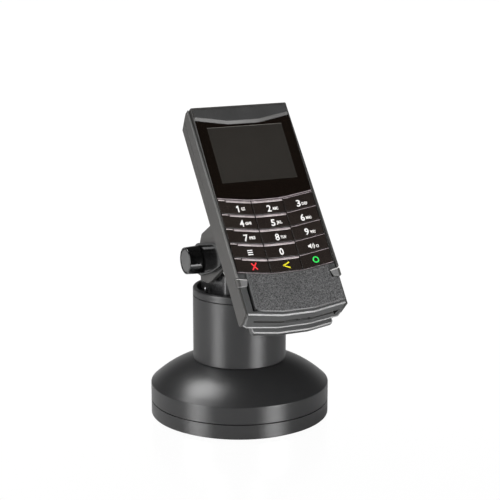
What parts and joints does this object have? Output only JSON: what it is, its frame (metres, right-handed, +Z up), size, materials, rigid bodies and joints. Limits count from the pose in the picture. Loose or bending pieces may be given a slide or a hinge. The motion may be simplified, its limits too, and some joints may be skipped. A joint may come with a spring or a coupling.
{
  "type": "card payment terminal",
  "caption": "Handheld chip-and-PIN card terminal with display and keypad, clipped in a cradle that tilts by a clamp knob and swivels on a round weighted pedestal.",
  "frame": {"origin": "centre of the round base's underside, on the swivel axis", "axes": "+Z up along the pole, terminal face towards -Y, +X to the reader's right when facing the keypad"},
  "size_m": [0.115, 0.1423, 0.2013],
  "materials": {
    "dark_paint": "satin dark grey paint",
    "grey_plastic": "fine satin texture",
    "textured_plastic": "spark-textured grain",
    "black_plastic": "satin black",
    "gloss_black": "glossy black",
    "pale_plastic": "satin light grey",
    "light_guide": "milky light guide",
    "key_gloss": "gloss brown-black with printed legend",
    "window": "black-backed polished window",
    "lcd": "dark unlit display",
    "steel": "zinc-plated",
    "alloy": "machined",
    "rubber_foot": "matt black",
    "rubber_washer": "matt black",
    "board": "coated circuit board",
    "cell": "film-wrapped cell",
    "copper": "etched coil"
  },
  "bodies": {
    "base": {"foot_pad": "rubber_foot", "base_weight": "dark_paint", "base_cover": "dark_paint", "pole_tube": "dark_paint", "pole_collar": "dark_paint", "tube_plug": "alloy", "centre_bolt": "steel", "centre_nut": "steel", "cover_screw_1": "steel", "cover_screw_2": "steel", "cover_screw_3": "steel", "swivel_bush": "black_plastic"},
    "head": {"swivel_disc": "black_plastic", "swivel_washer": "alloy", "swivel_nut": "steel", "stop_pin": "steel", "tilt_bracket": "dark_paint", "bracket_screw_1": "steel", "bracket_screw_2": "steel", "tilt_bolt": "steel", "friction_washer_l": "rubber_washer", "friction_washer_r": "rubber_washer", "lock_nut": "steel"},
    "knob": {"clamp_knob": "gloss_black", "knob_cap": "pale_plastic"},
    "terminal": {"clamp_saddle": "gloss_black", "cradle_tray": "grey_plastic", "cradle_toe": "grey_plastic", "clip_finger_l": "pale_plastic", "clip_finger_r": "pale_plastic", "cradle_screw_1": "steel", "cradle_screw_2": "steel", "rear_cover": "grey_plastic", "front_frame": "grey_plastic", "head_band": "textured_plastic", "display_window": "window", "lcd_panel": "lcd", "keypad_plate": "light_guide", "main_board": "board", "battery": "cell", "antenna_coil": "copper", "speaker": "black_plastic", "reader_frame": "grey_plastic", "contact_block": "black_plastic", "reader_hood": "textured_plastic"},
    "key_1_body": {"key_1": "key_gloss"},
    "key_2_body": {"key_2": "key_gloss"},
    "key_3_body": {"key_3": "key_gloss"},
    "key_4_body": {"key_4": "key_gloss"},
    "key_5_body": {"key_5": "key_gloss"},
    "key_6_body": {"key_6": "key_gloss"},
    "key_7_body": {"key_7": "key_gloss"},
    "key_8_body": {"key_8": "key_gloss"},
    "key_9_body": {"key_9": "key_gloss"},
    "key_menu_body": {"key_menu": "key_gloss"},
    "key_0_body": {"key_0": "key_gloss"},
    "key_sound_body": {"key_sound": "key_gloss"},
    "key_cancel_body": {"key_cancel": "key_gloss"},
    "key_correct_body": {"key_correct": "key_gloss"},
    "key_ok_body": {"key_ok": "key_gloss"}
  },
  "joints": [
    {"name": "swivel", "type": "hinge", "parent": "base", "child": "head", "pos_m": [0, 0, 0.0789], "axis": [0, 0, 1], "range_deg": [-170, 170]},
    {"name": "tilt", "type": "hinge", "parent": "head", "child": "terminal", "pos_m": [0, 0, 0.105], "axis": [1, 0, 0], "range_deg": [-33, 37]},
    {"name": "clamp", "type": "hinge", "parent": "head", "child": "knob", "pos_m": [-0.033, 0, 0.105], "axis": [-1, 0, 0], "range_deg": [0, 360]},
    {"name": "key_1_press", "type": "slide", "parent": "terminal", "child": "key_1_body", "axis": [0, 0.7986, -0.6018], "range_m": [0, 0.0006], "stiffness_N_per_m": 1500, "springref_m": -0.0002},
    {"name": "key_2_press", "type": "slide", "parent": "terminal", "child": "key_2_body", "axis": [0, 0.7986, -0.6018], "range_m": [0, 0.0006], "stiffness_N_per_m": 1500, "springref_m": -0.0002},
    {"name": "key_3_press", "type": "slide", "parent": "terminal", "child": "key_3_body", "axis": [0, 0.7986, -0.6018], "range_m": [0, 0.0006], "stiffness_N_per_m": 1500, "springref_m": -0.0002},
    {"name": "key_4_press", "type": "slide", "parent": "terminal", "child": "key_4_body", "axis": [0, 0.7986, -0.6018], "range_m": [0, 0.0006], "stiffness_N_per_m": 1500, "springref_m": -0.0002},
    {"name": "key_5_press", "type": "slide", "parent": "terminal", "child": "key_5_body", "axis": [0, 0.7986, -0.6018], "range_m": [0, 0.0006], "stiffness_N_per_m": 1500, "springref_m": -0.0002},
    {"name": "key_6_press", "type": "slide", "parent": "terminal", "child": "key_6_body", "axis": [0, 0.7986, -0.6018], "range_m": [0, 0.0006], "stiffness_N_per_m": 1500, "springref_m": -0.0002},
    {"name": "key_7_press", "type": "slide", "parent": "terminal", "child": "key_7_body", "axis": [0, 0.7986, -0.6018], "range_m": [0, 0.0006], "stiffness_N_per_m": 1500, "springref_m": -0.0002},
    {"name": "key_8_press", "type": "slide", "parent": "terminal", "child": "key_8_body", "axis": [0, 0.7986, -0.6018], "range_m": [0, 0.0006], "stiffness_N_per_m": 1500, "springref_m": -0.0002},
    {"name": "key_9_press", "type": "slide", "parent": "terminal", "child": "key_9_body", "axis": [0, 0.7986, -0.6018], "range_m": [0, 0.0006], "stiffness_N_per_m": 1500, "springref_m": -0.0002},
    {"name": "key_menu_press", "type": "slide", "parent": "terminal", "child": "key_menu_body", "axis": [0, 0.7986, -0.6018], "range_m": [0, 0.0006], "stiffness_N_per_m": 1500, "springref_m": -0.0002},
    {"name": "key_0_press", "type": "slide", "parent": "terminal", "child": "key_0_body", "axis": [0, 0.7986, -0.6018], "range_m": [0, 0.0006], "stiffness_N_per_m": 1500, "springref_m": -0.0002},
    {"name": "key_sound_press", "type": "slide", "parent": "terminal", "child": "key_sound_body", "axis": [0, 0.7986, -0.6018], "range_m": [0, 0.0006], "stiffness_N_per_m": 1500, "springref_m": -0.0002},
    {"name": "key_cancel_press", "type": "slide", "parent": "terminal", "child": "key_cancel_body", "axis": [0, 0.7986, -0.6018], "range_m": [0, 0.0006], "stiffness_N_per_m": 1500, "springref_m": -0.0002},
    {"name": "key_correct_press", "type": "slide", "parent": "terminal", "child": "key_correct_body", "axis": [0, 0.7986, -0.6018], "range_m": [0, 0.0006], "stiffness_N_per_m": 1500, "springref_m": -0.0002},
    {"name": "key_ok_press", "type": "slide", "parent": "terminal", "child": "key_ok_body", "axis": [0, 0.7986, -0.6018], "range_m": [0, 0.0006], "stiffness_N_per_m": 1500, "springref_m": -0.0002}
  ]
}
